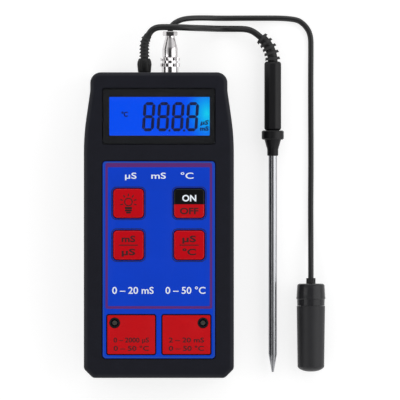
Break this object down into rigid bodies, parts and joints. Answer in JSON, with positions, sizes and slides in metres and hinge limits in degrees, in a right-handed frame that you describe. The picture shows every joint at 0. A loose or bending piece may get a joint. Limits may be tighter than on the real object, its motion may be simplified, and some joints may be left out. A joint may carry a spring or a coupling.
{
  "type": "conductivity tester",
  "caption": "Handheld conductivity tester: keyed case with a lit display, trimmers, a plugged steel temperature probe and a plugged, capped conductivity probe on leads.",
  "frame": {"origin": "middle of the case's flat back face, which lies on the table", "axes": "+X to the case's right seen from the front, +Y towards the end with the sockets, +Z out of the front face"},
  "size_m": [0.1132, 0.17, 0.0324],
  "materials": {
    "case_plastic": "fine moulded texture",
    "window_plastic": "polished clear window with a dark printed border",
    "display_glass": "clear, lit blue from behind",
    "backlight_plastic": "frosted light guide",
    "display_frame_plastic": "moulded",
    "contact_rubber": "striped conductive rubber",
    "faceplate_film": "satin printed polyester film",
    "key_plastic": "satin moulded",
    "calibration_plastic": "satin moulded",
    "bush_plastic": "moulded",
    "trimmer_plastic": "moulded",
    "trimmer_metal": "nickel plated",
    "switch_plastic": "moulded",
    "plunger_plastic": "moulded",
    "board_laminate": "solder mask",
    "component_plastic": "moulded",
    "screw_steel": "zinc plated",
    "battery_jacket": "plain printed jacket",
    "snap_plastic": "moulded vinyl",
    "hookup_insulation": "extruded",
    "nickel_plate": "bright nickel plated",
    "contact_brass": "gold flashed",
    "white_insulator": "turned",
    "jack_plastic": "moulded",
    "boot_rubber": "moulded, satin",
    "lead_jacket": "extruded, satin",
    "grip_plastic": "satin moulded",
    "probe_steel": "drawn and polished",
    "head_plastic": "turned and polished",
    "cap_plastic": "moulded, dull",
    "stem_plastic": "turned",
    "seal_rubber": "moulded",
    "sensor_epoxy": "cast"
  },
  "bodies": {
    "meter": {"front_case": "case_plastic", "rear_case": "case_plastic", "case_screws": "screw_steel", "board_screws": "screw_steel", "lcd_window": "window_plastic", "lcd_glass": "display_glass", "lcd_backlight": "backlight_plastic", "lcd_frame": "display_frame_plastic", "lcd_contact_strips": "contact_rubber", "faceplate": "faceplate_film", "calibration_plate_left": "calibration_plastic", "calibration_plate_right": "calibration_plastic", "trimmer_bushes": "bush_plastic", "trimmer_bodies": "trimmer_plastic", "tact_switches": "switch_plastic", "main_board": "board_laminate", "controller_chip": "component_plastic", "board_components": "component_plastic", "battery": "battery_jacket", "battery_snap": "snap_plastic", "battery_leads": "hookup_insulation", "bayonet_socket": "nickel_plate", "socket_insulator": "white_insulator", "socket_nut": "nickel_plate", "socket_leads": "hookup_insulation", "jack_socket": "jack_plastic", "jack_plug_grip": "jack_plastic", "jack_plug_pin": "nickel_plate", "jack_plug_boot": "boot_rubber", "temp_lead": "lead_jacket", "temp_probe_boot": "boot_rubber", "temp_probe_grip": "grip_plastic", "temp_probe_nose": "grip_plastic", "temp_probe_rod": "probe_steel", "thermistor": "sensor_epoxy"},
    "light_key": {"key_light": "key_plastic", "switch_plunger_light": "plunger_plastic"},
    "power_key": {"key_power": "key_plastic", "switch_plunger_power": "plunger_plastic"},
    "units_key": {"key_units": "key_plastic", "switch_plunger_units": "plunger_plastic"},
    "mode_key": {"key_mode": "key_plastic", "switch_plunger_mode": "plunger_plastic"},
    "left_trimmer": {"trimmer_screw_left": "trimmer_metal"},
    "right_trimmer": {"trimmer_screw_right": "trimmer_metal"},
    "door": {"battery_door": "case_plastic"},
    "conductivity_probe": {"ec_plug_body": "nickel_plate", "ec_plug_insulator": "white_insulator", "ec_plug_pin": "contact_brass", "ec_plug_nut": "nickel_plate", "ec_lead": "lead_jacket", "ec_probe_gland": "boot_rubber", "ec_probe_head": "head_plastic", "ec_electrode_stem": "stem_plastic", "ec_electrodes": "probe_steel", "ec_cap_seal": "seal_rubber"},
    "coupling_ring": {"ec_plug_ring": "nickel_plate"},
    "cap": {"ec_probe_cap": "cap_plastic"}
  },
  "joints": [
    {"name": "light_key_press", "type": "slide", "parent": "meter", "child": "light_key", "axis": [0, 0, -1], "range_m": [0, 0.0005], "stiffness_N_per_m": 500},
    {"name": "power_key_press", "type": "slide", "parent": "meter", "child": "power_key", "axis": [0, 0, -1], "range_m": [0, 0.0005], "stiffness_N_per_m": 500},
    {"name": "units_key_press", "type": "slide", "parent": "meter", "child": "units_key", "axis": [0, 0, -1], "range_m": [0, 0.0005], "stiffness_N_per_m": 500},
    {"name": "mode_key_press", "type": "slide", "parent": "meter", "child": "mode_key", "axis": [0, 0, -1], "range_m": [0, 0.0005], "stiffness_N_per_m": 500},
    {"name": "left_trimmer_turn", "type": "hinge", "parent": "meter", "child": "left_trimmer", "pos_m": [-0.02065, -0.0457, 0.0309], "axis": [0, 0, 1], "continuous": true},
    {"name": "right_trimmer_turn", "type": "hinge", "parent": "meter", "child": "right_trimmer", "pos_m": [0.02065, -0.0457, 0.0309], "axis": [0, 0, 1], "continuous": true},
    {"name": "door_slide", "type": "slide", "parent": "meter", "child": "door", "axis": [0, -1, 0], "range_m": [0, 0.036]},
    {"name": "plug_pull", "type": "slide", "parent": "meter", "child": "conductivity_probe", "axis": [0, 1, 0], "range_m": [0, 0.008]},
    {"name": "ring_turn", "type": "hinge", "parent": "conductivity_probe", "child": "coupling_ring", "pos_m": [0.0052, 0.0764, 0.0115], "axis": [0, 1, 0], "range_deg": [0, 90]},
    {"name": "cap_pull", "type": "slide", "parent": "conductivity_probe", "child": "cap", "axis": [0, -1, 0], "range_m": [0, 0.026]}
  ]
}
